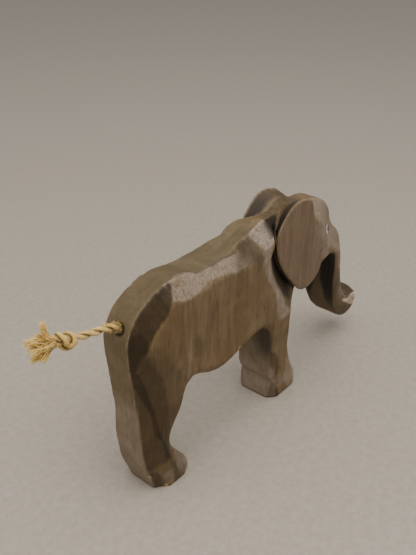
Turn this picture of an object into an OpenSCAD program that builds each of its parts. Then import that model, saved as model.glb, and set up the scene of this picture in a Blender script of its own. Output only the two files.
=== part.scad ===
// Small carved wooden elephant with a rope tail.
// The body is sawn from a plank as one outline, and its edges are then cut back with a knife.
// Frame: +X towards the head, +Y to the elephant's left, +Z up. The origin is on the table,
// under the middle of the body's length and thickness. All sizes are in millimetres.

/* [Body] */
// Thickness of the plank that the body is sawn from
plank = 26.8; // [24:0.2:30]
// Distance from the middle of the plank to the face of each ear
ear_face = 12.6; // [11.5:0.1:13]
// Half of the neck's thickness, where the ears' rear edges overhang it
neck_half = 6.4; // [5:0.2:8]
// How far the knife hollowed each flank
flank_depth = 1.2; // [0.4:0.1:2]

/* [Tail] */
// Diameter of the rope
rope_d = 3.2; // [2.4:0.1:3.6]
// Diameter of the hole that the rope is glued into
hole_d = 4.4; // [4:0.1:6]
// Depth of the hole along its axis
hole_depth = 14; // [10:0.5:20]
// Angle of the hole above level
hole_rise = 25; // [15:1:35]
// Largest radius of the knot
knot_r = 3.7; // [3:0.1:4.5]
// Radius of the frayed end at its open side
tuft_r = 6; // [4:0.5:8]

/* [Eyes] */
// Diameter of the white paint
eye_d = 5; // [3:0.25:6]
// Diameter of the dark pupil
pupil_d = 3.4; // [2:0.2:4]
// Thickness of each coat of paint
paint = 0.3; // [0.2:0.05:0.5]

/* [Colours] */
// Stained wood
wood_colour = "#6b5640"; // color
// Rope fibre
rope_colour = "#c1a16e"; // color

/* [Hidden] */
$fn = 48;

plank_half = plank / 2;
proud = 3;             // how far each cutting tool reaches past the wood
curve_steps = 4;       // outline points between two control points
glue_length = 2;
joint_gap = 0.35;      // clear space between the rope's fixed and moving ends
rope_sides = 8;
mouth = [-101.2, 0, 97.6];
hole_dir = [-cos(hole_rise), 0, sin(hole_rise)];
pivot = mouth + hole_dir * (rope_d / 2 + 2 * joint_gap);
knot_start = [-124.5, 0, 104.3];
knot_length = 11.8;
tuft_length = 12;
end_dir = [-cos(15), 0, sin(15)];   // the line of the knot and the tuft
knot_end = knot_start + knot_length * end_dir;
eye = [54.5, 91.4];
pupil = [55.2, 91.9];
thigh_front = -68.4;   // the flank's hollow ends in a crisp edge here

// Each control point is [x, z, width, reach]. width is half the width of the saw-cut edge
// that the knife left there, and reach is how far the knife's bevel runs in from that edge.
heel_to_front_toe = [
  [-91.8, 0, 8, 5.5],
  [-94, 7, 9.4, 9],
  [-97.8, 19, 9, 12],
  [-99.7, 33, 8.6, 10],
  [-100, 47, 8.2, 13],
  [-100.8, 60, 7.8, 16],
  [-102.2, 73, 7.6, 13],
  [-103.4, 86, 7.6, 9.5],
  [-102.8, 94.5, 7.6, 11],
  [-98.6, 102.4, 7.6, 12.5],
  [-91.5, 107.6, 7.5, 12],
  [-82, 111.2, 7.4, 6.5],
  [-71, 111.8, 7.4, 9.5],
  [-58, 109.8, 7.4, 7.5],
  [-44, 110, 7.4, 7.5],
  [-31, 110.6, 6.6, 10.5],
  [-25, 111.6, 5, 13],
  [-20.5, 112.8, 6.6, 9.5],
  [-13, 114.6, 6, 11.5],
  [-5, 115.2, 4.4, 12],
  [4, 114.6, 2.8, 11],
  [13, 114.6, 2.2, 11],
  [22, 115, 2.4, 12],
  [31, 115, 4, 13],
  [40, 113.8, 5.4, 14],
  [49, 110.8, 5.6, 16],
  [56.5, 106.2, 5, 18],
  [62, 99.8, 4.6, 20],
  [64.4, 93.2, 4.6, 20],
  [68.2, 88, 4.6, 18],
  [74.6, 82.3, 4.6, 15],
  [77.9, 76, 4.6, 13],
  [79.3, 67, 4.6, 12],
  [80.6, 58, 4.6, 12],
  [82.2, 49, 4.6, 11],
  [84.5, 41, 4.6, 9],
  [87.6, 35.4, 4.8, 6],
  [90.8, 33.8, 5, 4],
  [95, 33.6, 5.4, 2],
  [100.4, 31.6, 5.4, 2],
  [102.7, 29, 5.4, 3],
  [103.5, 23.8, 5.4, 5],
  [102.2, 18.2, 5.8, 6],
  [97.4, 15, 6.4, 6],
  [91, 14.8, 7, 6],
  [84, 17.4, 8, 5],
  [77.5, 22.4, 8.6, 4],
  [72, 28.8, 9, 3],
  [67.5, 37, 9, 3],
  [64.6, 46, 9.2, 3],
  [63, 56, 9.4, 3],
  [62.2, 66, 9.6, 3],
  [60.2, 73, 9.6, 3],
  [54.5, 72.5, 9, 4],
  [48, 69.5, 8, 5],
  [40, 69, 7.4, 6],
  [31.4, 67, 7, 7],
  [25.6, 61.5, 7, 8],
  [22.8, 54, 7.6, 8],
  [21.4, 45, 8, 7],
  [20.4, 36, 8.4, 6],
  [20.6, 28, 8.8, 6],
  [22.8, 19, 9.4, 5],
  [25.4, 12, 9.8, 5],
  [28.6, 6, 10, 5],
  [27.8, 0, 9.6, 5.5]];
heel_to_hind_toe = [
  [1.5, 0, 8.6, 6],
  [2.4, 6, 9.8, 4],
  [3.8, 11.8, 10.8, 3],
  [1.6, 16, 10.8, 2],
  [0.8, 21, 10.8, 3],
  [1, 30, 10.8, 3],
  [0, 39, 11, 3],
  [-2, 48, 11, 3],
  [-6, 54, 10.6, 4],
  [-13, 54.4, 10, 5],
  [-22, 51.8, 9.6, 6],
  [-32, 48.8, 9.4, 6],
  [-42, 48, 9.6, 6],
  [-52, 50.6, 10.2, 5],
  [-61, 55, 10.8, 4],
  [-68.6, 56, 11, 3],
  [-71.4, 50.4, 11, 4],
  [-73.8, 44.4, 11, 4],
  [-77.6, 39, 10.6, 4],
  [-81, 33, 10.4, 4],
  [-82, 27.4, 10.4, 4],
  [-80.4, 21.4, 10.4, 4],
  [-75.8, 15, 10.4, 4],
  [-70.8, 8.4, 10.4, 4],
  [-68.6, 3, 10, 6],
  [-68.4, 0, 9.8, 7]];
ear = [
  [30.4, 118], [24, 120.4], [19.4, 121.3], [15, 121], [9.8, 119], [4.7, 114.8], [0.7, 110.2], [-1.2, 104],
  [-0.2, 97], [2.6, 90], [8.4, 81.6], [15.4, 73.8], [20.6, 68], [25, 64.6], [29.8, 63.2], [35.5, 63.8],
  [40.6, 66], [44.6, 70], [46.4, 75], [45, 82], [41.6, 90], [38, 97], [35, 103.6], [32.8, 111]];
// The knife's line along the shoulder, and the groove where the hollow in front of it meets the ear
shoulder_ridge = [
  [-9, 121], [-4, 112], [-4.5, 104], [-9.5, 94], [-6.5, 83.5], [-1, 73.5], [5, 64.5], [11, 57]];
neck_groove = [
  [0.5, 119], [1.4, 111.5], [3, 104], [6, 94.5], [9.5, 84], [16.5, 73.5], [24.5, 64.5], [28.5, 57]];

// Catmull-Rom curve through control points of any number of values
function curve_at(a, b, c, d, t) =
  0.5 * (2 * b + (c - a) * t + (2 * a - 5 * b + 4 * c - d) * t * t + (3 * b - a - 3 * c + d) * t * t * t);
function curve(points, steps = curve_steps) = [
  points[0],
  for (i = [0 : len(points) - 2], k = [0 : steps - 1])
    curve_at(points[max(i - 1, 0)], points[i], points[i + 1], points[min(i + 2, len(points) - 1)],
             (k + 0.5) / steps),
  points[len(points) - 1]];
function closed_curve(points, steps = curve_steps) =
  let (n = len(points))
  [for (i = [0 : n - 1], k = [0 : steps - 1])
    curve_at(points[(i + n - 1) % n], points[i], points[(i + 1) % n], points[(i + 2) % n], k / steps)];
function flat(points) = [for (p = points) [p[0], p[1]]];
function unit(v) = v / norm(v);

// The inward normal at control point i of an outline that runs clockwise when seen from the right
function inward(points, i) =
  let (a = points[max(i - 1, 0)],
       b = points[min(i + 1, len(points) - 1)],
       along = unit([b[0] - a[0], b[1] - a[1]]))
  [along[1], -along[0]];

// One knife cut: it removes everything outside the surface that runs from the line a-b, at the edge,
// to the line c-d, further in
module wedge(a, b, c, d) {
  far = -plank_half - proud;
  top = [for (p = [a, b, c, d]) p];
  bottom = [for (p = top) [p[0], far, p[2]]];
  hull() polyhedron(
    points = concat(top, bottom),
    faces = [[0, 1, 2], [1, 3, 2], [4, 6, 5], [5, 6, 7], [0, 2, 4], [2, 6, 4], [1, 5, 3], [3, 5, 7],
             [0, 4, 1], [1, 4, 5], [2, 3, 6], [3, 7, 6]]);
}

// The same control points with each end one moved past the sole, so that a row of cuts runs right through it
function run_past(points) =
  let (last = len(points) - 1, reach = 1.6,
       start = points[1] + reach * (points[0] - points[1]),
       end = points[last - 1] + reach * (points[last] - points[last - 1]))
  concat([[start[0], start[1], points[0][2], points[0][3]]],
         [for (i = [1 : last - 1]) points[i]],
         [[end[0], end[1], points[last][2], points[last][3]]]);

// A row of knife cuts along one edge of the outline, on the right-hand side of the plank
module bevel(edge) {
  points = curve(run_past(edge), 2);
  lines = [
    for (i = [0 : len(points) - 1])
      let (p = points[i], n = inward(points, i), rise = (plank_half - p[2]) / p[3])
      [[p[0] - n[0] * proud, -(p[2] - rise * proud), p[1] - n[1] * proud],
       [p[0] + n[0] * (p[3] + proud), -(plank_half + rise * proud), p[1] + n[1] * (p[3] + proud)]]];
  for (i = [0 : len(lines) - 2])
    wedge(lines[i][0], lines[i + 1][0], lines[i][1], lines[i + 1][1]);
}

// The hollow between the shoulder and the ear, which runs on under the ear
module neck_hollow() {
  under = 9;
  for (i = [0 : len(neck_groove) - 2]) {
    r = [for (k = [i, i + 1]) [shoulder_ridge[k][0], -plank_half, shoulder_ridge[k][1]]];
    g = [for (k = [i, i + 1]) [neck_groove[k][0], -neck_half - 0.1 * pow(k - 3, 2), neck_groove[k][1]]];
    u = [for (k = [0, 1]) g[k] + [under, 0.6, 0]];
    wedge(r[0], r[1], g[0], g[1]);
    wedge(g[0], g[1], u[0], u[1]);
  }
}

// The side of the head lies a little below the ear's face, and the trunk's side slopes in from there
// to the tip
module head_side() {
  wedge([19, -12, 62], [3, -12, 126], [70, -11.6, 62], [70, -11.6, 126]);
  heights = [82, 68, 54, 40, 26, 10];
  halves = [12, 11.6, 11, 10.2, 9.2, 7.6];
  for (i = [0 : len(heights) - 2])
    wedge([56, -halves[i], heights[i]], [56, -halves[i + 1], heights[i + 1]],
          [112, -halves[i], heights[i]], [112, -halves[i + 1], heights[i + 1]]);
}

// A narrow bevel along the side of one sole, from x0 to x1
module sole_edge(x0, x1) {
  wedge([x0, -plank_half + 1, -2], [x1, -plank_half + 1, -2],
        [x0, -plank_half - 1, 4], [x1, -plank_half - 1, 4]);
}

// A shallow gouge: an ellipsoid whose surface dips depth below the wood's face
module gouge(x, z, across, up, depth, face = plank_half) {
  bulge = 30;
  translate([x, -face + depth - bulge, z])
    scale([across / sqrt(2 * bulge * depth), 1, up / sqrt(2 * bulge * depth)])
      sphere(r = bulge, $fn = 40);
}

module side_cuts() {
  bevel(heel_to_front_toe);
  bevel(heel_to_hind_toe);
  neck_hollow();
  head_side();
  intersection() {
    gouge(-46, 77, 30, 29, flank_depth);
    translate([thigh_front, -plank_half - proud, 0]) cube([60, 8, 120]);
  }
  sole_edge(-105, -60);
  sole_edge(-3, 36);
  gouge(-84, 34, 8, 15, 1.4);
  gouge(-76, 66, 7, 20, 0.8);
  gouge(12, 34, 9, 14, 1.6);
  gouge(-4, 84, 8, 12, 1);
}

module outline() {
  polygon(flat(concat(curve(heel_to_front_toe), curve(heel_to_hind_toe))));
}

// Lays a drawing in the X-Z plane out across Y, from y0 to y1
module across(y0, y1) {
  translate([0, y1, 0]) rotate([90, 0, 0]) linear_extrude(y1 - y0) children();
}

// The ear widens from the middle of the neck to its face, and a small bevel runs round that
module ear_slab() {
  rim = 0.7;
  root = 0.6;
  waist = 0.79;      // the root's size as a share of the face's
  centre = [38, 92];
  translate([centre[0], -ear_face + rim, centre[1]]) rotate([90, 0, 0]) mirror([0, 0, 1])
    linear_extrude(ear_face - rim - root, scale = waist)
      translate(-centre) polygon(closed_curve(ear, 3));
  across(-ear_face, -ear_face + 2 * rim) offset(delta = -rim) polygon(closed_curve(ear, 3));
}

module right_half() {
  difference() {
    across(-plank_half, 0) outline();
    side_cuts();
  }
  ear_slab();
}

module carved() {
  right_half();
  mirror([0, 1, 0]) right_half();
}

// Turns +Z to the direction of v, which lies in the X-Z plane
module along(at, v) {
  translate(at) rotate([0, atan2(v[0], v[2]), 0]) children();
}

module body() {
  color(wood_colour)
    difference() {
      resize([0, 0, 0]) carved();
      along(mouth - hole_dir * hole_depth, hole_dir) cylinder(h = hole_depth + 6, d = hole_d);
    }
}

module tail_glue() {
  color("#d8cfa8")
    along(mouth - hole_dir * hole_depth, hole_dir) cylinder(h = glue_length, d = hole_d - 0.02);
}

module tail_root() {
  color(rope_colour)
    along(mouth - hole_dir * (hole_depth - glue_length), hole_dir)
      cylinder(h = hole_depth - glue_length + joint_gap, d = rope_d);
}

// Hand-set points of the free rope, in the middle plane: it leaves the hole and then levels out
rope_route = [
  pivot, [-106.6, 0, 100], [-111.4, 0, 101.4], [-116.4, 0, 102.4], knot_start - 3.6 * end_dir, knot_start];
// A rounded start, so that the rope can turn in front of its fixed end without touching it
round_start = [
  for (a = [10, 35, 62])
    [pivot - hole_dir * rope_d / 2 * cos(a), rope_d / 2 * sin(a)]];

function heading(points, i) =
  unit(points[min(i + 1, len(points) - 1)] - points[max(i - 1, 0)]);

// A closed tube with a ring of its own radius at each point, all in the middle plane
module tube(points, radii) {
  rings = [
    for (i = [0 : len(points) - 1], k = [0 : rope_sides - 1])
      let (t = heading(points, i), side = [0, 1, 0], up = cross(t, side), turn = 360 * k / rope_sides)
      points[i] + radii[i] * (cos(turn) * side + sin(turn) * up)];
  last = (len(points) - 1) * rope_sides;
  polyhedron(
    points = rings,
    faces = concat(
      [[for (k = [0 : rope_sides - 1]) k]],
      [for (i = [0 : len(points) - 2], k = [0 : rope_sides - 1])
        let (a = i * rope_sides + k, b = i * rope_sides + (k + 1) % rope_sides)
        [b, a, a + rope_sides, b + rope_sides]],
      [[for (k = [rope_sides - 1 : -1 : 0]) last + k]]));
}

module tail_rope() {
  color(rope_colour)
    tube(concat([for (p = round_start) p[0]], rope_route),
         concat([for (p = round_start) p[1]], [for (p = rope_route) rope_d / 2]));
}

module tail_knot() {
  color(rope_colour)
    along(knot_start, end_dir)
      rotate_extrude()
        polygon([[0, 0], [rope_d / 2, 0], [knot_r * 0.82, knot_length * 0.18], [knot_r, knot_length * 0.4],
                 [knot_r, knot_length * 0.65], [knot_r * 0.8, knot_length * 0.88],
                 [rope_d * 0.6, knot_length], [0, knot_length]]);
}

module tail_tuft() {
  color(rope_colour)
    along(knot_end, end_dir)
      rotate_extrude()
        polygon([[0, 0], [rope_d * 0.6, 0], [tuft_r * 0.72, tuft_length * 0.5], [tuft_r, tuft_length],
                 [0, tuft_length]]);
}

// A coat of paint on the right-hand side of the head, between two depths over the wood
module paint_spot(at, d, under, over) {
  resize([0, 0, 0])
    intersection() {
      across(-plank_half, -2) translate(at) circle(d = d, $fn = 24);
      difference() {
        translate([0, -over, 0]) right_half();
        translate([0, -under, 0]) right_half();
      }
    }
}

module eye_white_right() { color("#e4ddd0") paint_spot(eye, eye_d, 0, paint); }
module eye_white_left() { mirror([0, 1, 0]) eye_white_right(); }
module pupil_right() { color("#2c2d30") paint_spot(pupil, pupil_d, paint, 1.7 * paint); }
module pupil_left() { mirror([0, 1, 0]) pupil_right(); }

body();
tail_glue();
tail_root();
tail_rope();
tail_knot();
tail_tuft();
eye_white_right();
eye_white_left();
pupil_right();
pupil_left();
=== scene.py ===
"""The looks of a carved wooden elephant with a rope tail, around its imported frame."""
import math

import bpy
import numpy as np
from mathutils import Matrix, Vector, noise
from mathutils.bvhtree import BVHTree


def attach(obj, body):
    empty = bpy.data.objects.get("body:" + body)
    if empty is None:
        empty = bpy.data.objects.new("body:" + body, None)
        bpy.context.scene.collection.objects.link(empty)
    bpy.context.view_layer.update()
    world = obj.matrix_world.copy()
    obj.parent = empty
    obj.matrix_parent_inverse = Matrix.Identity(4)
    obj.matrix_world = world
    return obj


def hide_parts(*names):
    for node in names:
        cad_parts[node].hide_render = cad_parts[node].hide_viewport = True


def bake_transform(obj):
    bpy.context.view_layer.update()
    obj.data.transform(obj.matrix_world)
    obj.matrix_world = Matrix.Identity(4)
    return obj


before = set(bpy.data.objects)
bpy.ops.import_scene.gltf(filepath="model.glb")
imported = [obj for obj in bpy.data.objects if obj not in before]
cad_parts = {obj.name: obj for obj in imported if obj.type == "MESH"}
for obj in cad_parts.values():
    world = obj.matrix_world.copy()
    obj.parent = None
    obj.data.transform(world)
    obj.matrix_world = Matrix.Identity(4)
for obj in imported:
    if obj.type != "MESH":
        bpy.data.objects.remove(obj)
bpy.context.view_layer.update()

MM = 0.001
rng = np.random.default_rng(11)

# The tail's route, as in the CAD model, in millimetres
MOUTH = np.array([-101.2, 0.0, 97.6])
HOLE_DIR = np.array([-math.cos(math.radians(25)), 0.0, math.sin(math.radians(25))])
PIVOT = MOUTH + HOLE_DIR * 2.3
ROOT_LENGTH = 11.6
END_DIR = np.array([-math.cos(math.radians(15)), 0.0, math.sin(math.radians(15))])
KNOT_START = np.array([-124.5, 0.0, 104.3])
KNOT_LENGTH = 11.8
KNOT_SHIFT = 0.5       # how far the knot's middle lies past the middle of its CAD solid
KNOT_ROPE_D = 2.8      # the rope's diameter where the knot squeezes it
KNOT_ROLL = 138        # degrees that the knot is turned about the tail's line

# The two strands: the length of one full turn, and each one's radius and distance from the rope's middle
STRANDS = 2
LAY = 13.4
STRAND_R = 0.98
STRAND_OFF = 0.8
YARNS = 7              # ridges round each strand
YARN_LAY = 9
LOOSE_HAIRS = 900
MOUTH_HAIRS = 170      # the frayed ring at the hole's mouth
BROKEN_HAIRS = 60      # a tangle of broken fibres on top of the rope

# The eyes' places in the X-Z plane, and each coat of paint's radius and thickness
EYE = (53.9, 91.2)
EYE_R = 2.7
EYE_COAT = 0.45
PUPIL = (53.8, 91.8)
PUPIL_R = 1.8
PUPIL_COAT = 0.85
DAB_STRETCH = 1.12     # how much longer than tall each dab is

# The camera, in metres and degrees
CAMERA_PLACE = (-0.26931, -0.189454, 0.26409)
HEADING = 39.763
PITCH = 29.462
ROLL = -0.526
LENS = 45.38


def make_camera():
    """The view from behind and to the elephant's right, looking down."""
    data = bpy.data.cameras.new("camera")
    data.sensor_width = 36.0
    data.lens = LENS
    data.clip_start = 0.01
    camera = bpy.data.objects.new("camera", data)
    bpy.context.scene.collection.objects.link(camera)
    heading, pitch, roll = math.radians(HEADING), math.radians(PITCH), math.radians(ROLL)
    ahead = math.cos(pitch)
    forward = Vector((math.cos(heading) * ahead, math.sin(heading) * ahead, -math.sin(pitch)))
    level = Vector((math.sin(heading), -math.cos(heading), 0))
    down = forward.cross(level)
    right = math.cos(roll) * level + math.sin(roll) * down
    down = forward.cross(right)
    turned = Matrix((right, -down, -forward)).transposed().to_4x4()
    camera.matrix_world = Matrix.Translation(CAMERA_PLACE) @ turned
    bpy.context.scene.camera = camera


# ---------------------------------------------------------------- meshes

def make_object(name, points, faces, material, smooth=True):
    """A new mesh object from points in millimetres."""
    mesh = bpy.data.meshes.new(name)
    mesh.from_pydata((np.asarray(points) * MM).tolist(), [], faces)
    mesh.materials.append(material)
    mesh.polygons.foreach_set("use_smooth", [smooth] * len(mesh.polygons))
    obj = bpy.data.objects.new(name, mesh)
    bpy.context.scene.collection.objects.link(obj)
    return obj


def put(mesh, name, values):
    """Stores one number a point, which a material reads by its name."""
    attribute = mesh.attributes.new(name, "FLOAT", "POINT")
    attribute.data.foreach_set("value", np.asarray(values, dtype=np.float32))


def smoothstep(low, high, value):
    """0 below low and 1 above high, with a smooth step between; low may be the larger of the two."""
    t = np.clip((value - low) / (high - low), 0, 1)
    return t * t * (3 - 2 * t)


def unit(vector):
    """A vector's direction, with length 1."""
    return vector / np.linalg.norm(vector)


def frames_along(path):
    """Tangents and a pair of normals that turn as little as they can along a path."""
    tangents = np.gradient(path, axis=0)
    tangents /= np.linalg.norm(tangents, axis=1, keepdims=True)
    sides = np.zeros_like(path)
    side = np.array([0.0, 1.0, 0.0])
    for i, t in enumerate(tangents):
        side = unit(side - t * (side @ t))
        sides[i] = side
    return tangents, sides, np.cross(tangents, sides)


def arc_lengths(path):
    """How far along a path each of its points is."""
    return np.concatenate([[0], np.cumsum(np.linalg.norm(np.diff(path, axis=0), axis=1))])


def resampled(path, spacing):
    """The same path with evenly spaced points."""
    s = arc_lengths(path)
    steps = np.linspace(0, s[-1], int(round(s[-1] / spacing)) + 1)
    return np.stack([np.interp(steps, s, path[:, k]) for k in range(3)], axis=1)


def smooth_curve(points, steps=12):
    """A Catmull-Rom curve through points."""
    p = np.vstack([2 * points[0] - points[1], points, 2 * points[-1] - points[-2]])
    out = []
    for a, b, c, d in zip(p[:-3], p[1:-2], p[2:-1], p[3:]):
        for t in np.arange(steps) / steps:
            out.append(0.5 * (2 * b + (c - a) * t + (2 * a - 5 * b + 4 * c - d) * t**2
                              + (3 * b - a - 3 * c + d) * t**3))
    out.append(points[-1])
    return np.array(out)


class Tubes:
    """Gathers many closed tubes into one mesh, with a few numbers for each point."""

    def __init__(self):
        self.points, self.faces, self.values, self.count = [], [], {}, 0

    def add(self, rings, **values):
        """rings is an array of shape (rings, sides, 3); each value has a number for each of its points."""
        count, sides = rings.shape[:2]
        first = self.count
        ids = first + np.arange(count * sides).reshape(count, sides)
        turned = np.roll(ids, -1, axis=1)
        quads = np.stack([ids[:-1], turned[:-1], turned[1:], ids[1:]], axis=-1).reshape(-1, 4)
        self.faces += quads.tolist()
        self.faces.append(ids[0, ::-1].tolist())
        self.faces.append(ids[-1].tolist())
        self.points.append(rings.reshape(-1, 3))
        for name, value in values.items():
            spread = np.broadcast_to(value, (count, sides)).reshape(-1)
            self.values.setdefault(name, []).append(spread)
        self.count += count * sides

    def finish(self, name, material):
        """The tubes as one object."""
        obj = make_object(name, np.vstack(self.points), self.faces, material)
        for key, value in self.values.items():
            put(obj.data, key, np.concatenate(value))
        return obj


def fibre_rings(path, radii, sides=3):
    """Rings for one thin fibre."""
    tangents = np.gradient(path, axis=0)
    tangents /= np.linalg.norm(tangents, axis=1, keepdims=True) + 1e-9
    across = np.cross(tangents, [0.31, 0.87, 0.38])
    across /= np.linalg.norm(across, axis=1, keepdims=True) + 1e-9
    over = np.cross(tangents, across)
    turns = np.arange(sides) * 2 * math.pi / sides
    return (path[:, None] + radii[:, None, None] * (np.cos(turns)[None, :, None] * across[:, None]
                                                    + np.sin(turns)[None, :, None] * over[:, None]))


# ---------------------------------------------------------------- materials

class Material:
    """A short way to write a node material."""

    def __init__(self, name):
        self.data = bpy.data.materials.new(name)
        self.data.use_nodes = True
        self.tree = self.data.node_tree
        self.shader = self.tree.nodes["Principled BSDF"]

    def node(self, kind, inputs=None, **settings):
        made = self.tree.nodes.new(kind)
        for key, value in settings.items():
            setattr(made, key, value)
        for key, value in (inputs or {}).items():
            self.feed(made.inputs[key], value)
        return made

    def feed(self, socket, value):
        if isinstance(value, bpy.types.NodeSocket):
            self.tree.links.new(value, socket)
        else:
            socket.default_value = value

    def set(self, **values):
        for key, value in values.items():
            self.feed(self.shader.inputs[key.replace("_", " ")], value)

    def place(self):
        return self.node("ShaderNodeTexCoord").outputs["Object"]

    def value(self, name):
        return self.node("ShaderNodeAttribute", attribute_name=name).outputs["Fac"]

    def stretch(self, vector, scale):
        return self.node("ShaderNodeVectorMath", {0: vector, 1: scale}, operation="MULTIPLY").outputs[0]

    def noise(self, vector, scale=1.0, detail=3.0, rough=0.55, bend=0.0):
        return self.node("ShaderNodeTexNoise", {"Vector": vector, "Scale": scale, "Detail": detail,
                                                "Roughness": rough, "Distortion": bend}).outputs["Fac"]

    def remap(self, value, low, high, to_low=0.0, to_high=1.0):
        return self.node("ShaderNodeMapRange", {0: value, 1: low, 2: high, 3: to_low, 4: to_high},
                         interpolation_type="SMOOTHSTEP").outputs[0]

    def math(self, operation, a, b=0.5):
        return self.node("ShaderNodeMath", {0: a, 1: b}, operation=operation, use_clamp=False).outputs[0]

    def mix(self, factor, a, b, blend="MIX"):
        made = self.node("ShaderNodeMix", {0: factor}, data_type="RGBA", blend_type=blend, clamp_factor=True)
        for socket, value in ((made.inputs[6], a), (made.inputs[7], b)):
            self.feed(socket, (*value, 1) if isinstance(value, tuple) else value)
        return made.outputs[2]

    def bump(self, height, distance, strength=1.0, normal=None):
        made = self.node("ShaderNodeBump", {"Height": height, "Distance": distance, "Strength": strength})
        if normal is not None:
            self.feed(made.inputs["Normal"], normal)
        return made.outputs[0]


def srgb(r, g, b):
    """A colour given as on a screen, 0 to 255, as the light that it stands for."""
    shares = (r / 255, g / 255, b / 255)
    return tuple(c / 12.92 if c <= 0.04045 else ((c + 0.055) / 1.055) ** 2.4 for c in shares)


def wood_material():
    """Stained wood with its grain, and the stain, dirt, wear, painted shade and painted light where the
    body's marks say.
    """
    m = Material("stained_wood")
    place = m.place()
    band, pale, dark = m.value("band"), m.value("pale"), m.value("dark")
    wear_and_highlight, dirt_and_shade, ear, bare, level = (m.value(k) for k in ("wear_and_highlight", "dirt_and_shade", "ear", "bare", "level"))
    rubbed, deep_shade_and_stain, golden = m.value("rubbed"), m.value("deep_shade_and_stain"), m.value("golden")

    upright = m.noise(m.stretch(place, (900, 900, 45)), detail=4, rough=0.62)
    lengthwise = m.noise(m.stretch(place, (45, 900, 900)), detail=4, rough=0.62)
    grain = m.mix(level, upright, lengthwise)
    brushed = m.noise(m.stretch(place, (210, 210, 26)), detail=4, rough=0.6, bend=0.8)
    patchy = m.noise(place, 62, detail=5, rough=0.62, bend=0.8)
    cloudy = m.noise(place, 24, detail=3)
    smudged = m.noise(m.stretch(place, (95, 95, 60)), detail=4, rough=0.65, bend=1.2)
    speckle = m.noise(place, 900, detail=3, rough=0.75)
    pores = m.remap(m.noise(m.stretch(place, (1500, 1500, 110)), detail=1), 0.64, 0.72)

    colour = m.mix(m.remap(brushed, 0.3, 0.7), srgb(101, 82, 56), srgb(124, 103, 72))
    colour = m.mix(m.remap(patchy, 0.45, 0.7, 0, 0.5), colour, srgb(138, 119, 94))
    colour = m.mix(m.remap(cloudy, 0.5, 0.66, 0, 0.5), colour, srgb(108, 85, 54))
    colour = m.mix(m.remap(smudged, 0.4, 0.27, 0, 0.45), colour, srgb(76, 60, 38))
    ear_tone = m.mix(m.remap(brushed, 0.3, 0.7), srgb(112, 93, 73), srgb(128, 109, 89))
    ear_tone = m.mix(m.remap(smudged, 0.42, 0.3, 0, 0.5), ear_tone, srgb(94, 77, 58))
    colour = m.mix(m.math("MULTIPLY", ear, 0.85), colour, ear_tone)
    band_tone = m.mix(m.remap(patchy, 0.35, 0.7), srgb(96, 82, 56), srgb(113, 99, 76))
    colour = m.mix(m.math("MULTIPLY", band, 0.85), colour, band_tone)
    rubbed_tone = m.mix(m.remap(patchy, 0.3, 0.7), srgb(135, 120, 105), srgb(162, 148, 133))
    colour = m.mix(rubbed, colour, rubbed_tone)
    pale_tone = m.mix(m.remap(patchy, 0.3, 0.65), srgb(132, 116, 101), srgb(162, 148, 134))
    pale_tone = m.mix(m.remap(speckle, 0.48, 0.64, 0, 0.7), pale_tone, srgb(190, 176, 162))
    pale_tone = m.mix(m.remap(speckle, 0.46, 0.34, 0, 0.6), pale_tone, srgb(100, 85, 70))
    pale_tone = m.mix(m.remap(smudged, 0.44, 0.28, 0, 0.7), pale_tone, srgb(110, 93, 76))
    colour = m.mix(pale, colour, pale_tone)
    dark_tone = m.mix(m.remap(patchy, 0.3, 0.7), srgb(38, 28, 13), srgb(56, 43, 23))
    # dark stain, and painted shade with dark stain along the trunk
    colour = m.mix(dark, colour, dark_tone)
    # dirt, with painted shade in the hollows, behind and between the ears, on the front leg's rear and on top
    # of the back
    colour = m.mix(m.math("MULTIPLY", dirt_and_shade, 0.92), colour, srgb(39, 33, 26))
    # near-black painted shade under the ear's edge and in the tail hole, and painted shade with dark stain
    # behind the trunk
    colour = m.mix(deep_shade_and_stain, colour, srgb(22, 15, 9))
    # pale worn edges, with a painted highlight along the ear's top rim
    pale_edges = m.math("MULTIPLY", wear_and_highlight, m.remap(m.noise(place, 260, detail=3), 0.3, 0.6, 0.25, 1))
    colour = m.mix(pale_edges, colour, srgb(168, 150, 124))
    golden_tone = m.mix(m.remap(speckle, 0.4, 0.6), srgb(166, 127, 82), srgb(206, 168, 116))
    colour = m.mix(golden, colour, golden_tone)
    bare_tone = m.mix(m.remap(smudged, 0.35, 0.6), srgb(146, 124, 100), srgb(224, 208, 184))
    colour = m.mix(bare, colour, bare_tone)
    shade = m.mix(m.remap(grain, 0.3, 0.7), (0.89, 0.88, 0.86), (1.07, 1.07, 1.07))
    colour = m.mix(1.0, colour, shade, "MULTIPLY")
    colour = m.mix(m.math("MULTIPLY", pores, 0.4), colour, srgb(48, 36, 24))

    height = m.math("ADD", m.math("MULTIPLY", grain, 0.5), m.math("MULTIPLY", patchy, 0.9))
    height = m.math("SUBTRACT", height, m.math("MULTIPLY", pores, 0.2))
    coarse = m.bump(m.math("MULTIPLY", speckle, m.math("ADD", 0.15, pale)), 0.00012)
    normal = m.bump(height, 0.00028, 0.75, coarse)
    gloss = m.math("ADD", m.remap(patchy, 0.3, 0.7, 0.46, 0.62), m.math("MULTIPLY", pale, 0.14))
    gloss = m.math("ADD", gloss, m.math("MULTIPLY", grain, 0.08))
    m.set(Base_Color=colour, Roughness=gloss, Normal=normal)
    m.shader.inputs["Specular IOR Level"].default_value = 0.28
    return m.data


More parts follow.
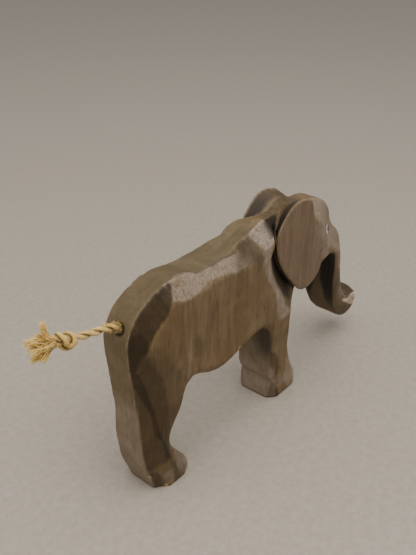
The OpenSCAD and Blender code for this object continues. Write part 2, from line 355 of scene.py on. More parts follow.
def rope_material():
    """Rough golden fibre, drawn out along each strand, with painted shade between the strands and underneath.
    """
    m = Material("rope_fibre")
    along, round_it, tone, shade = (m.value(k) for k in ("along", "around", "tone", "depth"))
    where = m.node("ShaderNodeCombineXYZ", {0: along, 1: round_it, 2: tone}).outputs[0]
    fibre = m.noise(m.stretch(where, (0.5, 9, 4)), detail=4, rough=0.65)
    broad = m.noise(m.stretch(where, (0.35, 1.2, 3)), detail=2)
    colour = m.mix(m.remap(fibre, 0.32, 0.54), srgb(164, 108, 40), srgb(255, 222, 136))
    colour = m.mix(m.remap(broad, 0.35, 0.65, 0, 0.5), colour, srgb(238, 186, 94))
    colour = m.mix(m.remap(tone, 0.0, 1.0, 0, 0.5), colour, srgb(255, 232, 150))
    # painted shade between the strands, under the rope and at the tuft's roots, darker near the hole's mouth,
    # and dark loose fibres
    colour = m.mix(shade, colour, srgb(66, 40, 14))
    rough = m.remap(fibre, 0.2, 0.8, 0.58, 0.8)
    m.set(Base_Color=colour, Roughness=rough, Normal=m.bump(fibre, 0.0003, 0.9))
    m.shader.inputs["Sheen Weight"].default_value = 0.15
    m.shader.inputs["Sheen Roughness"].default_value = 0.5
    m.shader.inputs["Specular IOR Level"].default_value = 0.35
    return m.data


def paint_material(name, light, dull, gloss):
    """Brushed paint that is a little uneven, with wood showing through at its edge."""
    m = Material(name)
    place = m.place()
    spots = m.noise(place, 700, detail=3)
    edge = m.value("edge")
    colour = m.mix(m.remap(spots, 0.4, 0.65, 0, 0.6), light, dull)
    thin = m.remap(m.math("ADD", edge, m.math("MULTIPLY", spots, 0.3)), 0.95, 1.2)
    colour = m.mix(thin, colour, srgb(96, 84, 70))
    rough = m.remap(spots, 0.3, 0.7, gloss, gloss + 0.15)
    m.set(Base_Color=colour, Roughness=rough, Normal=m.bump(spots, 0.0001, 0.5))
    return m.data


def glue_material():
    """Set glue, clouded and half glossy."""
    m = Material("set_glue")
    cloud = m.noise(m.place(), 900, detail=2)
    colour = m.mix(cloud, srgb(196, 170, 110), srgb(222, 204, 156))
    m.set(Base_Color=colour, Roughness=m.remap(cloud, 0.3, 0.7, 0.2, 0.4))
    return m.data


# ---------------------------------------------------------------- the wooden body

class Surface:
    """A mesh as arrays in millimetres, for smoothing and measuring."""

    def __init__(self, mesh):
        self.mesh = mesh
        n = len(mesh.vertices)
        self.points = np.empty(n * 3, np.float32)
        mesh.vertices.foreach_get("co", self.points)
        self.points = self.points.reshape(n, 3).astype(float) / MM
        edges = np.empty(len(mesh.edges) * 2, np.int32)
        mesh.edges.foreach_get("vertices", edges)
        self.a, self.b = edges.reshape(-1, 2).T
        self.degree = np.bincount(edges, minlength=n)

    def average(self, values):
        """The mean of each point's neighbours."""
        n = len(self.degree)
        if values.ndim == 1:
            total = np.bincount(self.a, values[self.b], n) + np.bincount(self.b, values[self.a], n)
            return total / self.degree
        return np.stack([self.average(values[:, k]) for k in range(values.shape[1])], axis=1)

    def spread(self, values, times):
        """Values smoothed over the surface."""
        for _ in range(times):
            values = 0.5 * values + 0.5 * self.average(values)
        return values

    def write(self):
        self.mesh.vertices.foreach_set("co", (self.points * MM).astype(np.float32).reshape(-1))
        self.mesh.update()

    def normals(self):
        self.write()
        out = np.empty(len(self.points) * 3, np.float32)
        self.mesh.vertex_normals.foreach_get("vector", out)
        return out.reshape(-1, 3).astype(float)


def remeshed(node, voxel):
    """A copy of a CAD node's mesh, as an even net of small squares."""
    work = bpy.data.objects.new("work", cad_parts[node].data.copy())
    bpy.context.scene.collection.objects.link(work)
    modifier = work.modifiers.new("voxels", "REMESH")
    modifier.mode, modifier.voxel_size = "VOXEL", voxel * MM
    graph = bpy.context.evaluated_depsgraph_get()
    mesh = bpy.data.meshes.new_from_object(work.evaluated_get(graph))
    bpy.data.objects.remove(work)
    return mesh


def noise_at(points, size, seed, octaves=2):
    """Smooth noise in about -1 to 1; size is its grain in millimetres along each axis."""
    scaled = (points / np.asarray(size, float) + seed).tolist()
    return np.array([noise.fractal(p, 0.9, 2.0, octaves, noise_basis="PERLIN_ORIGINAL") for p in scaled])


def scallops(points, size, seed):
    """Shallow knife cuts: 0 in the middle of each cut and 1 on the ridges between them."""
    scaled = (points / np.asarray(size, float) + seed).tolist()
    near = np.array([noise.voronoi(p, distance_metric="DISTANCE")[0][0] for p in scaled])
    return np.clip(near, 0, 1) ** 2


def inside(points, outline, soft, wobble=0.0):
    """1 inside an outline in the X-Z plane and 0 outside it; soft is how far its edge fades, each way."""
    p = points[:, [0, 2]]
    ring = np.array(outline, float)
    best = np.full(len(p), 1e9)
    odd = np.zeros(len(p), bool)
    for a, b in zip(ring, np.roll(ring, -1, axis=0)):
        d = b - a
        t = np.clip(((p - a) @ d) / (d @ d), 0, 1)
        best = np.minimum(best, np.linalg.norm(p - a - t[:, None] * d, axis=1))
        crosses = (a[1] > p[:, 1]) != (b[1] > p[:, 1])
        height = np.where(abs(d[1]) < 1e-9, 1e-9, d[1])
        odd ^= crosses & (p[:, 0] < a[0] + (p[:, 1] - a[1]) * d[0] / height)
    return smoothstep(-soft, soft, np.where(odd, best, -best) + wobble)


def near_spots(points, spots, soft=0.5):
    """How close each point is to the nearest of some spots, each given as a place and a radius."""
    out = np.zeros(len(points))
    for x, y, z, r in spots:
        share = np.linalg.norm(points - [x, y, z], axis=1) / r
        out = np.maximum(out, smoothstep(1 + soft, 1 - soft, share))
    return out


# Outlines in the X-Z plane: the pale patches, the smudge between them, and the ear
HIP = [(-80, 113), (-80, 106), (-74, 103), (-69, 102), (-56, 104), (-47, 104), (-38, 102), (-30, 101),
       (-25, 101), (-22, 103), (-25, 108), (-30, 113), (-60, 113), (-72, 115)]
SHOULDER = [(0, 112), (-3, 115), (-8, 117), (-14, 117), (-18, 115), (-19, 112), (-16, 108), (-15, 106),
            (-12, 104), (-7, 104), (-4, 105), (-1, 108)]
SMUDGE = [(-33, 104), (-28, 111), (-23, 114), (-18, 116), (-18, 110), (-16, 106), (-18, 101), (-27, 102)]
EAR = [(30, 118), (19, 121), (10, 119), (1, 110), (-1, 104), (0, 97), (3, 90), (15, 74), (25, 65), (30, 63),
       (35, 64), (45, 70), (46, 75), (45, 82), (38, 97), (33, 111)]

# Marks on the sides: how strong each is, how soft its edge is, and its outline in the same plane
DARK_MARKS = [
    # the bevel of the rump, and its darkest part
    (0.85, 0.7, [(-106, 77), (-106, 118), (-76, 118), (-77, 110), (-81, 105), (-84, 100), (-89, 97),
                 (-92, 94), (-95, 90), (-96, 86), (-99, 80), (-101, 77)]),
    (1.0, 0.9, [(-106, 73), (-106, 98), (-97, 97), (-95, 92), (-96, 87), (-99, 84), (-101, 74)]),
    # the thigh, the strip down its rear edge, and the shin behind it
    (0.72, 2.4, [(-106, 84), (-95, 85), (-91, 78), (-86, 65), (-83, 41), (-84, 18), (-99, 14), (-106, 50)]),
    (0.45, 4.0, [(-106, 84), (-92, 86), (-84, 77), (-76, 67), (-73, 55), (-74, 40), (-78, 28), (-82, 18),
                 (-99, 14), (-106, 50)]),
    (0.95, 1.3, [(-104, 80), (-98, 76), (-94, 62), (-92, 52), (-90, 40), (-85, 24), (-84, 18), (-88, 20),
                 (-91, 33), (-94, 38), (-95, 51), (-100, 62), (-103, 71)]),
    (0.7, 1.2, [(-100, 48), (-94, 45), (-93, 35), (-91, 21), (-97, 19), (-100, 34)]),
    # the hind foot
    (0.6, 1.0, [(-98, 15), (-92, 13), (-89, 8), (-87, -1), (-96, -1), (-97, 8)]),
    (0.5, 1.0, [(-86, 18), (-83, 17), (-80, 9), (-77, -1), (-82, -1), (-83, 7)]),
    # the front leg and foot
    (0.6, 1.0, [(-1, 34), (3, 34), (6, 27), (7, 21), (4, 15), (3, 16), (2, 22), (-1, 28)]),
    (0.8, 0.9, [(3, 12), (5, 10), (9, -1), (-1, -1), (2, 4)]),
    # a stain on the flank, and painted shade with dark stain along the trunk's underside
    (0.3, 2.0, [(-67, 79), (-64, 80), (-58, 72), (-60, 66), (-67, 68)]),
    (0.75, 1.2, [(40, 60), (56, 60), (65, 46), (68, 37), (76, 24), (84, 18), (97, 15), (101, 19), (95, 22),
                 (84, 25), (76, 31), (70, 45), (67, 61), (60, 72), (50, 73)])]
RUBBED_MARKS = [
    # the hind toe, the crest in front of the thigh, and the hind foot
    (1.0, 1.5, [(-77, 17), (-72, 13), (-67, 12), (-63, 8), (-63, -1), (-70, -1), (-74, 6)]),
    (0.45, 0.8, [(-69.5, 84), (-68, 84), (-69, 68), (-70, 58), (-72.5, 58), (-71, 68)]),
    (0.9, 1.0, [(-83, 25), (-81, 29), (-73, 15), (-67, 4), (-71, 4), (-75, 8), (-79, 12), (-81, 18)]),
    (0.65, 0.8, [(-81, 16), (-80, 10), (-77, 3), (-73, 0), (-68, 2), (-70, 8), (-75, 15)]),
    (0.35, 0.7, [(-87, 11), (-83, 11), (-82, 7), (-83, 2), (-86, 0), (-89, 4), (-89, 9)]),
    # the front foot
    (0.35, 0.9, [(3, 15), (6, 17), (10, 15), (12, 9), (9, 6), (6, 8)]),
    (0.8, 1.4, [(13, 22), (19, 24), (24, 17), (30, 8), (31, -1), (19, -1), (13, 8)]),
    # the shoulder's ridge, and the head with the front of the trunk
    (1.0, 1.8, [(-14, 105), (-9, 104), (-4, 94), (2, 83), (8, 69), (14, 56), (6, 56), (0, 67), (-4, 78),
                (-12, 93)]),
    (0.9, 2.2, [(32, 121), (34, 110), (39, 97), (46, 82), (47, 76), (62, 78), (70, 60), (77, 36), (90, 30),
                (93, 40), (82, 56), (81, 74), (60, 101), (50, 114)])]
BARE_MARK = [(83, 31), (90, 29), (96, 31), (101, 32), (105, 28), (104, 21), (100, 19), (95, 22),
             (89, 26), (85, 28)]
GOLD_NICKS = [  # where each nick that shows fresh wood is, and its radius
    (-95, -8.5, 11, 1.0), (-87, -12, 1, 0.9), (-34, -12.5, 53.5, 0.8), (-31.5, -13.5, 56, 0.9),
    (-33, -13, 54.5, 0.6), (-80, -13.5, 14.5, 0.5)]

VOXEL = 0.62           # the side of the squares in the body's net
KNIFE_DEPTH = 0.3      # height of the ridges between the knife's cuts
LOW_DEPTH = 0.16       # how much higher they are on the legs and feet
SMALL_DEPTH = 0.14     # height of the finer ridges there
HIP_RISE = 0.4         # how far each pale patch stands up
SHOULDER_RISE = 0.45
RUMP_RISE = 0.6
BACK_RISE = 1.5        # how far the left edge of the back is raised behind the shoulder


def marked(points, marks, wobble):
    """The strongest of some marks at each point."""
    out = np.zeros(len(points))
    for strength, soft, outline in marks:
        out = np.maximum(out, strength * inside(points, outline, soft, wobble * soft))
    return out


def hip_line(x, y):
    """How far out from the middle plane the pale patch on the hip begins.

    It laps over the back on the right only."""
    return 7.7 - (3.3 * smoothstep(-60, -65, x) - 1.6 * smoothstep(-70, -77, x)) * (y < 0)


def shoulder_line(x, y):
    """How far out from the middle plane the pale patch on the shoulder begins."""
    return 2.6 - 0.19 * x + 3 * (y > 0)


def knife_shift(p, n, hip, shoulder, ear):
    """How far the knife left each point out from the sawn shape."""
    x, _, z = p.T
    low = smoothstep(62, 48, z)
    chamfer = smoothstep(0.2, 0.5, abs(n[:, 1])) * smoothstep(0.97, 0.88, abs(n[:, 1]))
    whittled = 0.8 * np.maximum(low, chamfer) * (1 - ear) * (1 - 0.6 * hip)
    shift = (KNIFE_DEPTH + LOW_DEPTH * low) * whittled * (scallops(p, (8, 8, 13), 0.4) - 0.35) * (z > 2)
    shift += SMALL_DEPTH * low * (scallops(p, (4.5, 4.5, 6), 5.2) - 0.3) * (z > 2)
    shift += HIP_RISE * hip + SHOULDER_RISE * shoulder
    shift += 0.22 * noise_at(p, (26, 26, 34), 8.3) + 0.06 * noise_at(p, (5, 5, 12), 2.7)
    shift += RUMP_RISE * smoothstep(-97, -101, x) * smoothstep(50, 60, z) * smoothstep(100, 90, z)
    from_hole = np.linalg.norm(p - MOUTH, axis=1)
    return shift * smoothstep(0.4, 2.5, z) * smoothstep(3, 6, from_hole)


class Marks:
    """What the stain, the dirt and the wear left on the body, with the painted shade and light: numbers from
    0 to 1 for its points.
    """

    def __init__(self, skin, side, wobble, ragged):
        self.p, self.n = skin.points, skin.normals()
        self.x, self.y, self.z = self.p.T
        self.out = abs(self.y)
        self.side, self.wobble, self.ragged = side, wobble, ragged
        self.uneven = np.clip(ragged, -1, 1)
        self.sideways = smoothstep(0.3, 0.45, abs(self.n[:, 1]))
        self.fine = ((self.p - skin.spread(self.p, 6)) * self.n).sum(1)
        self.broad = ((self.p - skin.spread(self.p, 60)) * self.n).sum(1)
        self.smudge = inside(self.p, SMUDGE, 4.5, 0.8 * ragged) * smoothstep(4, 7, self.out)
        # the far side's top behind the ear, lightened with painted light against its shade
        self.far_back_painted_light = (smoothstep(-6, -2, self.x) * smoothstep(26, 20, self.x)
                         * smoothstep(101, 106, self.z) * (self.y > 4))
        # the trunk's rear face, which takes painted shade with dark stain
        self.trunk_back_shade = (smoothstep(56, 60, self.x) * smoothstep(-0.4, -0.6, self.n[:, 0])
                           * smoothstep(20, 26, self.z) * smoothstep(80, 72, self.z))

    def hip(self, limit):
        """The pale patch on the hip, dulled by the smudge."""
        shape = inside(self.p, HIP, 0.9, self.ragged * 0.5) * limit
        return shape * (1 - 0.75 * self.smudge) * (0.58 + 0.16 * self.uneven)

    def shoulder(self, limit):
        """The pale patch on the shoulder."""
        return inside(self.p, SHOULDER, 1.0, self.ragged * 0.6) * limit * (0.88 + 0.12 * self.uneven)

    def band(self):
        """The sawn edge that runs round between the bevels, but not its undersides."""
        upward = self.n[:, 2] - 0.9 * self.n[:, 0] * (self.x < 0)
        band = smoothstep(0.4, 0.18, abs(self.n[:, 1])) * smoothstep(-0.55, -0.2, upward)
        return band * (1 - smoothstep(-18, 0, self.x) * smoothstep(60, 70, self.z))

    def rubbed(self):
        """Where hands wore the stain pale, before the painted light on the far side behind the ear and the
        smudge's grey are added.
        """
        x, z = self.x, self.z
        marks = marked(self.p, RUBBED_MARKS, self.ragged) * np.where(x > 30, self.sideways, 1)
        rear = smoothstep(-0.4, -0.7, self.n[:, 0])
        lower = 0.4 * smoothstep(28, 18, z) + 0.2 * smoothstep(56, 40, z)
        front_leg = lower * rear * smoothstep(10, 4, abs(x))
        hind_leg = 0.36 * rear * smoothstep(-70, -80, x) * smoothstep(64, 50, z)
        return np.max([marks * (0.75 + 0.25 * self.uneven), front_leg, hind_leg], axis=0)

    def dark(self, rubbed):
        """The dark stain on the sides, and the painted shade with stain along the trunk's underside, faded
        where the stain is rubbed.
        """
        dark = marked(self.p, DARK_MARKS, 0.35 * self.wobble + 0.12 * self.ragged) * self.sideways
        dark *= 1 - 0.5 * (self.x > 40) * smoothstep(0.75, 0.9, abs(self.n[:, 1]))
        return dark * (1 - 0.75 * np.clip(rubbed, 0, 1) * (self.x < 35))

    def wear_and_highlight(self, dark):
        """Pale edges where the surface is sharp, and a painted highlight along the ear's top rim."""
        x, z = self.x, self.z
        wear_and_highlight = smoothstep(0.06, 0.2, self.fine) * (0.2 + 0.4 * smoothstep(40, 90, z))
        wear_and_highlight *= (1 - 0.8 * (x > 56) * (z < 70)) * (1 - 0.9 * dark)
        # painted highlight along the ear's top rim
        rim_highlight = inside(self.p, EAR, 1.8) * smoothstep(9.5, 11, self.out)
        return wear_and_highlight * (1 + rim_highlight * (1.9 * smoothstep(105, 109, z) * smoothstep(15, 20, x) - 1))

    def dirt_and_shade(self, hip_limit, shoulder_limit):
        """Dirt and painted shade: darker in the hollows, along the patches' creases, low on the trunk and
        hind foot and at the soles, with painted shade behind and between the ears, under the belly and on top
        of the back.
        """
        p, n, x, y, z, out = self.p, self.n, self.x, self.y, self.z, self.out
        # darker in the hollows: stain gathered there, and painted shade
        hollows = smoothstep(-0.05, -0.3, self.fine) * 0.7 + smoothstep(-0.3, -1.6, self.broad) * 0.8
        # painted shade in the neck's hollow behind the ear
        groove = (smoothstep(11, 4, abs(x - 3 - 0.35 * np.maximum(92 - z, 0))) * smoothstep(11.9, 10, out)
                  * smoothstep(56, 66, z) * self.side)
        groove *= 1 - 0.8 * smoothstep(101, 107, z) * (y > 0)
        # painted shadow of the belly on the rear of the front leg, on the near side only
        arch = (0.75 * smoothstep(-0.5, -0.8, n[:, 0]) * smoothstep(8, 3, abs(x)) * smoothstep(26, 36, z)
                * smoothstep(60, 52, z) * smoothstep(4, -6, y + 2 * self.wobble))
        # painted shade on the backs of the ears
        ear_back = (0.28 * smoothstep(5, 8, out) * smoothstep(98, 106, z) * smoothstep(-0.1, -0.35, n[:, 0])
                    * (x > -3) * (x < 32))
        # painted shade on the neck between the ears
        saddle = (0.5 * smoothstep(0.3, 0.7, n[:, 2]) * smoothstep(-6, 4, x) * smoothstep(38, 28, x)
                  * smoothstep(104, 110, z) * smoothstep(11, 8, out))
        trunk = 0.3 * smoothstep(58, 66, x) * smoothstep(64, 54, z) * self.side
        hind_foot = 0.2 * smoothstep(-66, -72, x) * smoothstep(20, 14, z) * self.side
        hip_edge = (4 * hip_limit * (1 - hip_limit)) ** 2 * inside(p, HIP, 1.5) * smoothstep(-25, -32, x)
        shoulder_edge = (4 * shoulder_limit * (1 - shoulder_limit)) ** 2 * inside(p, SHOULDER, 1.5)
        crease = 0.65 * hip_edge + 0.35 * shoulder_edge
        # painted shade on top of the back, against the light from above
        back = 0.14 * smoothstep(0.6, 0.8, n[:, 2]) * smoothstep(-12, -20, x) * smoothstep(80, 90, z)
        sole = 0.5 * smoothstep(2.2, 0.4, z)
        darkest_share = np.max([hollows, back, crease, groove, arch, 0.58 * self.smudge, ear_back, saddle, trunk,
                           hind_foot, sole], axis=0)
        return darkest_share * (1 - 0.85 * self.far_back_painted_light)

    def deep_shade_and_stain(self):
        """The near-black places: painted shade with dark stain behind the trunk, and painted shade under the
        ear's rear edge and in the tail hole's mouth.
        """
        x, z, out = self.x, self.z, self.out
        edge_from = 1.9 + 0.14 * (57 - z) + self.wobble
        # painted shade with dark stain on the trunk's rear face
        trunk = self.trunk_back_shade * smoothstep(edge_from - 1.2, edge_from + 1.5, out) * smoothstep(22, 46, z)
        # painted shade under the ear's rear edge
        seam = (0.95 * smoothstep(0.05, 0.45, inside(self.p, EAR, 2.4)) * smoothstep(11.9, 11.4, out)
                * smoothstep(4, 7, out) * smoothstep(34, 24, x) * self.side)
        # painted shade inside the tail hole's mouth
        from_axis = np.linalg.norm(np.cross(self.p - MOUTH + [0, 0.9, 0.5], HOLE_DIR), axis=1)
        mouth = smoothstep(3.7, 2.6, from_axis) * (x < -60)
        return np.clip(np.max([trunk, seam, mouth], axis=0), 0, 0.95)

    def bare(self):
        """Unstained wood on the sides of the trunk's tip."""
        return (inside(self.p, BARE_MARK, 0.9, self.ragged * 0.9) * smoothstep(5, 7.5, self.out)
                * smoothstep(0.8, 0.5, self.n[:, 2]))

    def values(self, hip_limit, shoulder_limit):
        """Every mark, by the name that the wood's material reads it with, except the ear's."""
        up = self.n[:, 2]
        hip, shoulder = self.hip(hip_limit), self.shoulder(shoulder_limit)
        band, rubbed = self.band(), self.rubbed()
        dark = self.dark(rubbed)
        tip_top = (0.7 * smoothstep(0.5, 0.8, up) * smoothstep(83, 87, self.x)
                   * smoothstep(18, 24, self.z) * (self.z < 45))
        return {
            "band": band * (1 - hip),
            "pale": np.maximum(hip, shoulder) * smoothstep(-0.1, 0.15, up + 0.3),
            # the trunk's rear face takes painted shade with dark stain; the tip's top is its dark end grain
            "dark": np.clip(np.max([dark, 0.48 * self.trunk_back_shade, tip_top], axis=0), 0, 1),
            "wear_and_highlight": np.clip(self.wear_and_highlight(dark), 0, 1),
            "dirt_and_shade": np.clip(self.dirt_and_shade(hip_limit, shoulder_limit), 0, 1),
            "deep_shade_and_stain": self.deep_shade_and_stain(),
            "level": smoothstep(0.45, 0.8, abs(up)) * band,
            # the rubbed wear, painted light on the far side behind the ear, and the smudge's grey
            "rubbed": np.clip(np.max([rubbed, 0.2 * self.far_back_painted_light, 0.15 * self.smudge], axis=0), 0, 1),
            "bare": self.bare(),
            "golden": 0.8 * near_spots(self.p, GOLD_NICKS, 0.4)}


def carve_body(material):
    """The body as the knife left it: softened edges, tool marks and the marks that the stain, the dirt and
    the painted shade follow.
    """
    mesh = remeshed("body", VOXEL)
    skin = Surface(mesh)
    skin.points = skin.spread(skin.points, 5)
    n = skin.normals()
    p = skin.points
    x, y, _ = p.T
    side = smoothstep(0.25, 0.7, abs(n[:, 1]))
    wobble = noise_at(p, (6, 6, 6), 3.1)
    ragged = wobble + 0.6 * noise_at(p, (2.2, 2.2, 2.2), 6.6)
    hip_limit = smoothstep(-0.9, 0.9, abs(y) + wobble * 0.3 - hip_line(x, y))
    shoulder_limit = smoothstep(-0.8, 0.8, abs(y) + wobble * 0.3 - shoulder_line(x, y))
    hip = inside(p, HIP, 0.8, wobble * 0.3) * hip_limit
    shoulder = inside(p, SHOULDER, 0.7, wobble * 0.3) * shoulder_limit
    ear = inside(p, EAR, 0.4) * smoothstep(11.4, 12.2, abs(y))
    raised = (BACK_RISE * smoothstep(-46, -26, x) * smoothstep(0, -16, x) * smoothstep(0, 7, y)
              * smoothstep(0.1, 0.5, n[:, 2]))
    skin.points = p + n * knife_shift(p, n, hip, shoulder, ear)[:, None]
    skin.points[:, 2] = np.maximum(skin.points[:, 2] + raised, 0)

    for name, value in Marks(skin, side, wobble, ragged).values(hip_limit, shoulder_limit).items():
        put(mesh, name, value)
    put(mesh, "ear", ear)
    mesh.materials.clear()
    mesh.materials.append(material)
    mesh.polygons.foreach_set("use_smooth", [True] * len(mesh.polygons))
    body = bpy.data.objects.new("carved_body", mesh)
    bpy.context.scene.collection.objects.link(body)
    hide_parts("body")
    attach(body, "elephant")
    return body


def paint_dab(name, body_tree, centre, radius, lift, side, material):
    """A round dab of paint on one side of the head, thickest in the middle."""
    rings, spokes = 9, 36
    points, edge = [], []
    for i in range(rings + 1):
        share = i / rings
        for k in range(spokes):
            turn = 2 * math.pi * k / spokes
            wobble = 1 + 0.05 * math.sin(3 * turn + 1) + 0.03 * math.sin(7 * turn)
            r = radius * share * wobble
            x, z = centre[0] + DAB_STRETCH * r * math.cos(turn), centre[1] + r * math.sin(turn)
            hit, normal, _, _ = body_tree.ray_cast(Vector((x, side * 40, z)) * MM, Vector((0, -side, 0)))
            height = lift * math.sqrt(max(1 - share**4, 0)) - 0.06 * share**6
            points.append((np.array(hit) + np.array(normal) * height * MM) / MM)
            edge.append(share)
    faces = []
    for i in range(rings):
        for k in range(spokes):
            a, b = i * spokes + k, i * spokes + (k + 1) % spokes
            quad = [a, b, b + spokes, a + spokes]
            faces.append(quad if side > 0 else quad[::-1])
    obj = make_object(name, points, faces, material)
    put(obj.data, "edge", edge)
    return obj


# ---------------------------------------------------------------- the rope tail

def overhand_knot(diameter, spacing=0.9, rounds=2500, pull=0.15):
    """The middle line of an overhand knot along X, pulled tight: a loose knot whose ends are drawn
    apart while no stretch of it may come closer to another than the rope's diameter."""
    t = np.linspace(-2.15, 2.15, 600)
    knot = np.stack([t**3 - 3 * t, t**5 / 5 - 2 * t, 4 * t**2 - t**4], axis=1) * diameter * 0.66
    lead = np.array([2.0 * diameter, 0, 0])
    k = np.linspace(0, 1, 60)[1:, None]
    path = resampled(np.vstack([knot[0] - lead * k[::-1], knot, knot[-1] + lead * k]), spacing)
    spacing = arc_lengths(path)[-1] / (len(path) - 1)
    order = np.arange(len(path))
    apart = abs(order[:, None] - order[None, :]) * spacing > 2 * diameter
    for _ in range(rounds):
        path[0, 0] -= pull
        path[-1, 0] += pull
        path[[0, -1], 1:] *= 0.9
        path[[1, -2], 1:] *= 0.95
        path[1:-1] += 0.02 * (0.5 * (path[:-2] + path[2:]) - path[1:-1])
        gaps = path[:, None] - path[None, :]
        far = np.linalg.norm(gaps, axis=2) + 1e-9
        push = np.where(apart & (far < diameter), (diameter - far) / far * 0.175, 0)
        path += (gaps * push[:, :, None]).sum(1)
        for _ in range(6):
            for first in (0, 1):
                count = (len(path) - first) // 2
                a, b = path[first:first + 2 * count:2], path[first + 1:first + 1 + 2 * count:2]
                v = b - a
                length = np.linalg.norm(v, axis=1, keepdims=True)
                change = v * (length - spacing) / length * 0.5
                path[first:first + 2 * count:2] += change
                path[first + 1:first + 1 + 2 * count:2] -= change
    return path


def tail_path():
    """The rope's middle line, from the bottom of the hole through the knot, in millimetres."""
    knot = overhand_knot(KNOT_ROPE_D)
    knot = knot[abs(knot[:, 0]) < 6.2]
    knot = knot - [0, knot[[0, -1], 1].mean(), knot[[0, -1], 2].mean()]
    roll = math.radians(KNOT_ROLL)
    side = np.array([0.0, 1.0, 0.0])
    up = np.cross(END_DIR, side)
    over = math.cos(roll) * side + math.sin(roll) * up
    under = np.cross(END_DIR, over)
    centre = KNOT_START + END_DIR * (KNOT_LENGTH / 2 + KNOT_SHIFT)
    knot = centre + knot[:, :1] * END_DIR + knot[:, 1:2] * over + knot[:, 2:] * under
    before = np.array([MOUTH - HOLE_DIR * ROOT_LENGTH, MOUTH - HOLE_DIR * 6, MOUTH, PIVOT, [-106.6, 0, 100],
                       [-111.4, 0, 101.4], [-116.4, 0, 102.4]])
    return resampled(smooth_curve(np.vstack([before, knot])), 0.25)


def outward_from(tangent):
    """A random direction square to the rope."""
    out = rng.normal(size=3)
    return unit(out - tangent * (out @ tangent))


def add_hair(tubes, start, direction, length, radius, along, depth=0.0):
    """One loose fibre that curls a little."""
    curl = np.cross(direction, rng.normal(size=3)) * 0.35
    k = np.linspace(0, 1, 5)[:, None]
    hair = start + direction * length * k + curl * k**2 * length
    tubes.add(fibre_rings(hair, np.linspace(radius, radius * 0.5, 5)), along=along + k * 2,
              around=rng.uniform(0, 6), tone=rng.uniform(0.3, 1), depth=depth)


def make_rope(path, material):
    """Two strands laid round the path, each with ridges of yarn, and loose hairs along it."""
    s = arc_lengths(path)
    tangents, sides, ups = frames_along(path)
    total = s[-1]
    tubes = Tubes()
    spokes = 24
    around = np.arange(spokes) * 2 * math.pi / spokes
    strands = []
    in_mouth = 0.55 * smoothstep(ROOT_LENGTH + 4.5, ROOT_LENGTH + 0.8, s)
    for strand in range(STRANDS):
        phase = 2 * math.pi * (s / LAY + strand / STRANDS)
        swell = 1 + 0.05 * np.sin(s * 0.9 + strand * 2) + 0.04 * np.sin(s * 2.3 + strand)
        off = STRAND_OFF * (1 - 0.7 * smoothstep(1.2, 0, total - s))
        outward = np.cos(phase)[:, None] * sides + np.sin(phase)[:, None] * ups
        centre = path + off[:, None] * outward
        strands.append(centre)
        _, a, b = frames_along(centre)
        yarn = around[None, :] - 2 * math.pi * s[:, None] / YARN_LAY
        ridge = 1 + 0.07 * np.cos(YARNS * yarn) + 0.025 * np.cos(3 * yarn + 1)
        radius = STRAND_R * swell[:, None] * ridge
        radius *= (1 - 0.5 * smoothstep(0.8, 0, total - s))[:, None]
        ring = (np.cos(around)[None, :, None] * a[:, None] + np.sin(around)[None, :, None] * b[:, None])
        rings = centre[:, None] + radius[:, :, None] * ring
        facing = (ring * outward[:, None]).sum(-1)
        # painted shade in the valleys between the strands and on the rope's underside; darker near the hole's
        # mouth
        between = 0.75 * smoothstep(0.45, -0.5, facing)
        below = 0.3 * smoothstep(0, -0.9, ring[:, :, 2])
        tubes.add(rings, along=np.broadcast_to(s[:, None], yarn.shape),
                  around=np.cos(YARNS * yarn) * 0.5 + yarn * 0.4, tone=0.1 + 0.15 * strand,
                  depth=np.minimum(between + below + in_mouth[:, None], 1))
    for _ in range(LOOSE_HAIRS):
        i = rng.integers(0, len(path) - 4)
        if s[i] < ROOT_LENGTH - 1:
            continue
        strand = strands[rng.integers(0, STRANDS)]
        out = outward_from(tangents[i])
        lean = tangents[i] * rng.choice([-1, 1]) * rng.uniform(0.8, 1.8)
        direction = unit(lean + out * rng.uniform(0.15, 0.8))
        add_hair(tubes, strand[i] + out * STRAND_R * 0.85, direction, rng.uniform(0.6, 1.5), 0.06, s[i],
                 rng.uniform(0, 0.6))
    for _ in range(MOUTH_HAIRS):
        i = int(np.searchsorted(s, ROOT_LENGTH + rng.uniform(-0.3, 3.4)))
        out = outward_from(tangents[i])
        direction = unit(tangents[i] * rng.uniform(-0.5, 0.9) + out)
        add_hair(tubes, path[i] + out * 1.4, direction, rng.uniform(0.6, 1.8), 0.1, s[i],
                 rng.uniform(0, 0.75))
    for _ in range(BROKEN_HAIRS):
        i = int(np.searchsorted(s, ROOT_LENGTH + rng.uniform(5.4, 7.6)))
        direction = np.array([rng.normal(0, 0.4), rng.normal(0, 0.5), 1.0])
        add_hair(tubes, path[i] + [0, rng.normal(0, 0.5), 1.2], direction, rng.uniform(0.5, 1.3), 0.1, s[i])
    return tubes.finish("rope", material)


# Each lock of fibres: degrees up from the rope's line, degrees to the side, length, how many, and its start
TUFT = [
    (86, 2, 12, 130, 4.6), (62, 10, 8, 25, 1.0), (44, -14, 8, 60, 0), (36, 28, 9, 80, 0),
    (20, 2, 11.5, 110, 0), (12, -34, 9.5, 60, 0), (6, 24, 11.5, 110, 0), (-8, -4, 11, 110, 0),
    (-20, 28, 10, 90, 0), (-26, -28, 9.4, 60, 0), (-38, 8, 10.2, 130, 0), (-54, 14, 8.8, 110, 0),
    (2, 52, 9, 60, 0)]


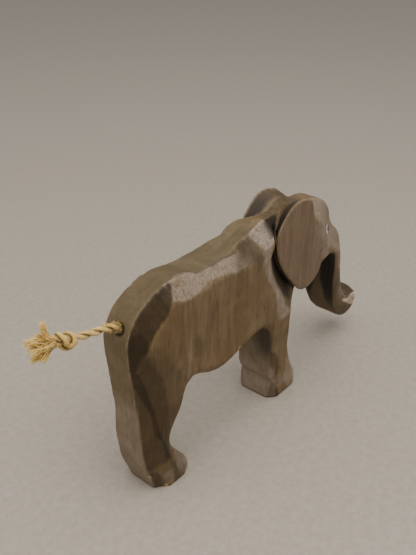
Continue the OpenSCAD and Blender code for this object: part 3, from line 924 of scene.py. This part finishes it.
def make_tuft(path, material):
    """The rope's end, frayed into locks of loose fibres."""
    tubes = Tubes()
    root = path[-1] - END_DIR * 1.6
    side = np.array([0.0, 1.0, 0.0])
    up = np.cross(side, END_DIR)
    up *= math.copysign(1, up[2])
    for rise, swing, length, count, start in TUFT:
        tip_wave = rng.normal(0, 0.5, 3)
        for _ in range(count):
            a = math.radians(rise + rng.normal(0, 4.5))
            b = math.radians(swing + rng.normal(0, 4.5))
            level = END_DIR * math.cos(b) + side * math.sin(b)
            heading = level * math.cos(a) + up * math.sin(a)
            turn, reach = rng.uniform(0, 2 * math.pi), 1.6 * math.sqrt(rng.uniform())
            offset = side * math.cos(turn) * reach + up * math.sin(turn) * reach
            full = length * rng.uniform(0.6, 1.05)
            k = np.linspace(0, 1, 9)[:, None]
            wave = (rng.normal(0, 0.22, 3) + tip_wave) * np.sin(k * math.pi * rng.uniform(1, 2)) * k
            bow = rng.normal(0, 0.3, 3) * k**2
            reach_out = END_DIR * (start * k**0.5 + 0.2 * full * k) + heading * full * k**1.2 * 0.86
            line = root + reach_out + offset * (1 - 0.6 * k) + wave + bow
            radii = np.linspace(0.2, 0.1, 9) * rng.uniform(0.8, 1.35)
            # painted shade near each lock's root, where the fibres crowd
            tubes.add(fibre_rings(line, radii), along=k * full, around=rng.uniform(0, 9),
                      tone=np.clip(rng.uniform(0.2, 1.0) + 0.3 * (k - 0.5), 0, 1),
                      depth=0.7 * (1 - k) ** 2 * rng.uniform(0.2, 1))
    return tubes.finish("tuft", material)


# ---------------------------------------------------------------- the whole

def make_stage():
    """The floor, two soft lamps and the light all round."""
    world = bpy.data.worlds.new("world")
    bpy.context.scene.world = world
    world.use_nodes = True
    background = world.node_tree.nodes["Background"]
    background.inputs["Color"].default_value = (1.0, 0.985, 0.965, 1)
    background.inputs["Strength"].default_value = 0.41
    for name, place, size, power, colour in (
            ("key", (-0.1, -0.25, 1.0), 1.0, 10.6, (1.0, 0.96, 0.905)),
            ("fill", (-0.8, 0.35, 0.6), 1.0, 2.7, (1.0, 0.96, 0.9))):
        light = bpy.data.lights.new(name, "AREA")
        light.energy, light.size, light.color = power, size, colour
        lamp = bpy.data.objects.new(name, light)
        bpy.context.scene.collection.objects.link(lamp)
        lamp.location = place
        lamp.rotation_euler = (Vector((0, 0, 0.05)) - lamp.location).to_track_quat("-Z", "Y").to_euler()
    m = Material("floor")
    grain = m.noise(m.place(), 260, detail=4, rough=0.7)
    m.set(Base_Color=m.mix(m.remap(grain, 0.3, 0.7), srgb(170, 160, 147), srgb(182, 172, 159)),
          Roughness=m.remap(grain, 0.3, 0.7, 0.42, 0.5))
    reach = 2000
    corners = [(-reach, -reach, 0), (reach, -reach, 0), (reach, reach, 0), (-reach, reach, 0)]
    floor = make_object("floor", corners, [(0, 1, 2, 3)], m.data, smooth=False)


make_camera()
wood, fibre = wood_material(), rope_material()
path = tail_path()
rope = make_rope(path, fibre)
tuft = make_tuft(path, fibre)
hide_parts("tail_rope", "tail_knot", "tail_root")
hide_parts("tail_tuft")
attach(tuft, "tail")
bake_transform(rope)

body = carve_body(wood)
tree = BVHTree.FromPolygons([v.co.copy() for v in body.data.vertices],
                            [tuple(f.vertices) for f in body.data.polygons])
white = paint_material("white_paint", srgb(236, 232, 222), srgb(206, 198, 184), 0.45)
black = paint_material("dark_paint", srgb(26, 30, 36), srgb(52, 58, 66), 0.4)
for side, word in ((-1, "right"), (1, "left")):
    for kind, centre, radius, lift, material, slot in (
            ("eye_white", EYE, EYE_R, EYE_COAT, white, "white_paint"),
            ("pupil", PUPIL, PUPIL_R, PUPIL_COAT, black, "dark_paint")):
        dab = paint_dab(f"{kind}_dab_{word}", tree, centre, radius, lift, side, material)
        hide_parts(f"{kind}_{word}")
        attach(dab, "elephant")
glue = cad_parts["tail_glue"]
glue.data.materials.clear()
glue.data.materials.append(glue_material())
make_stage()
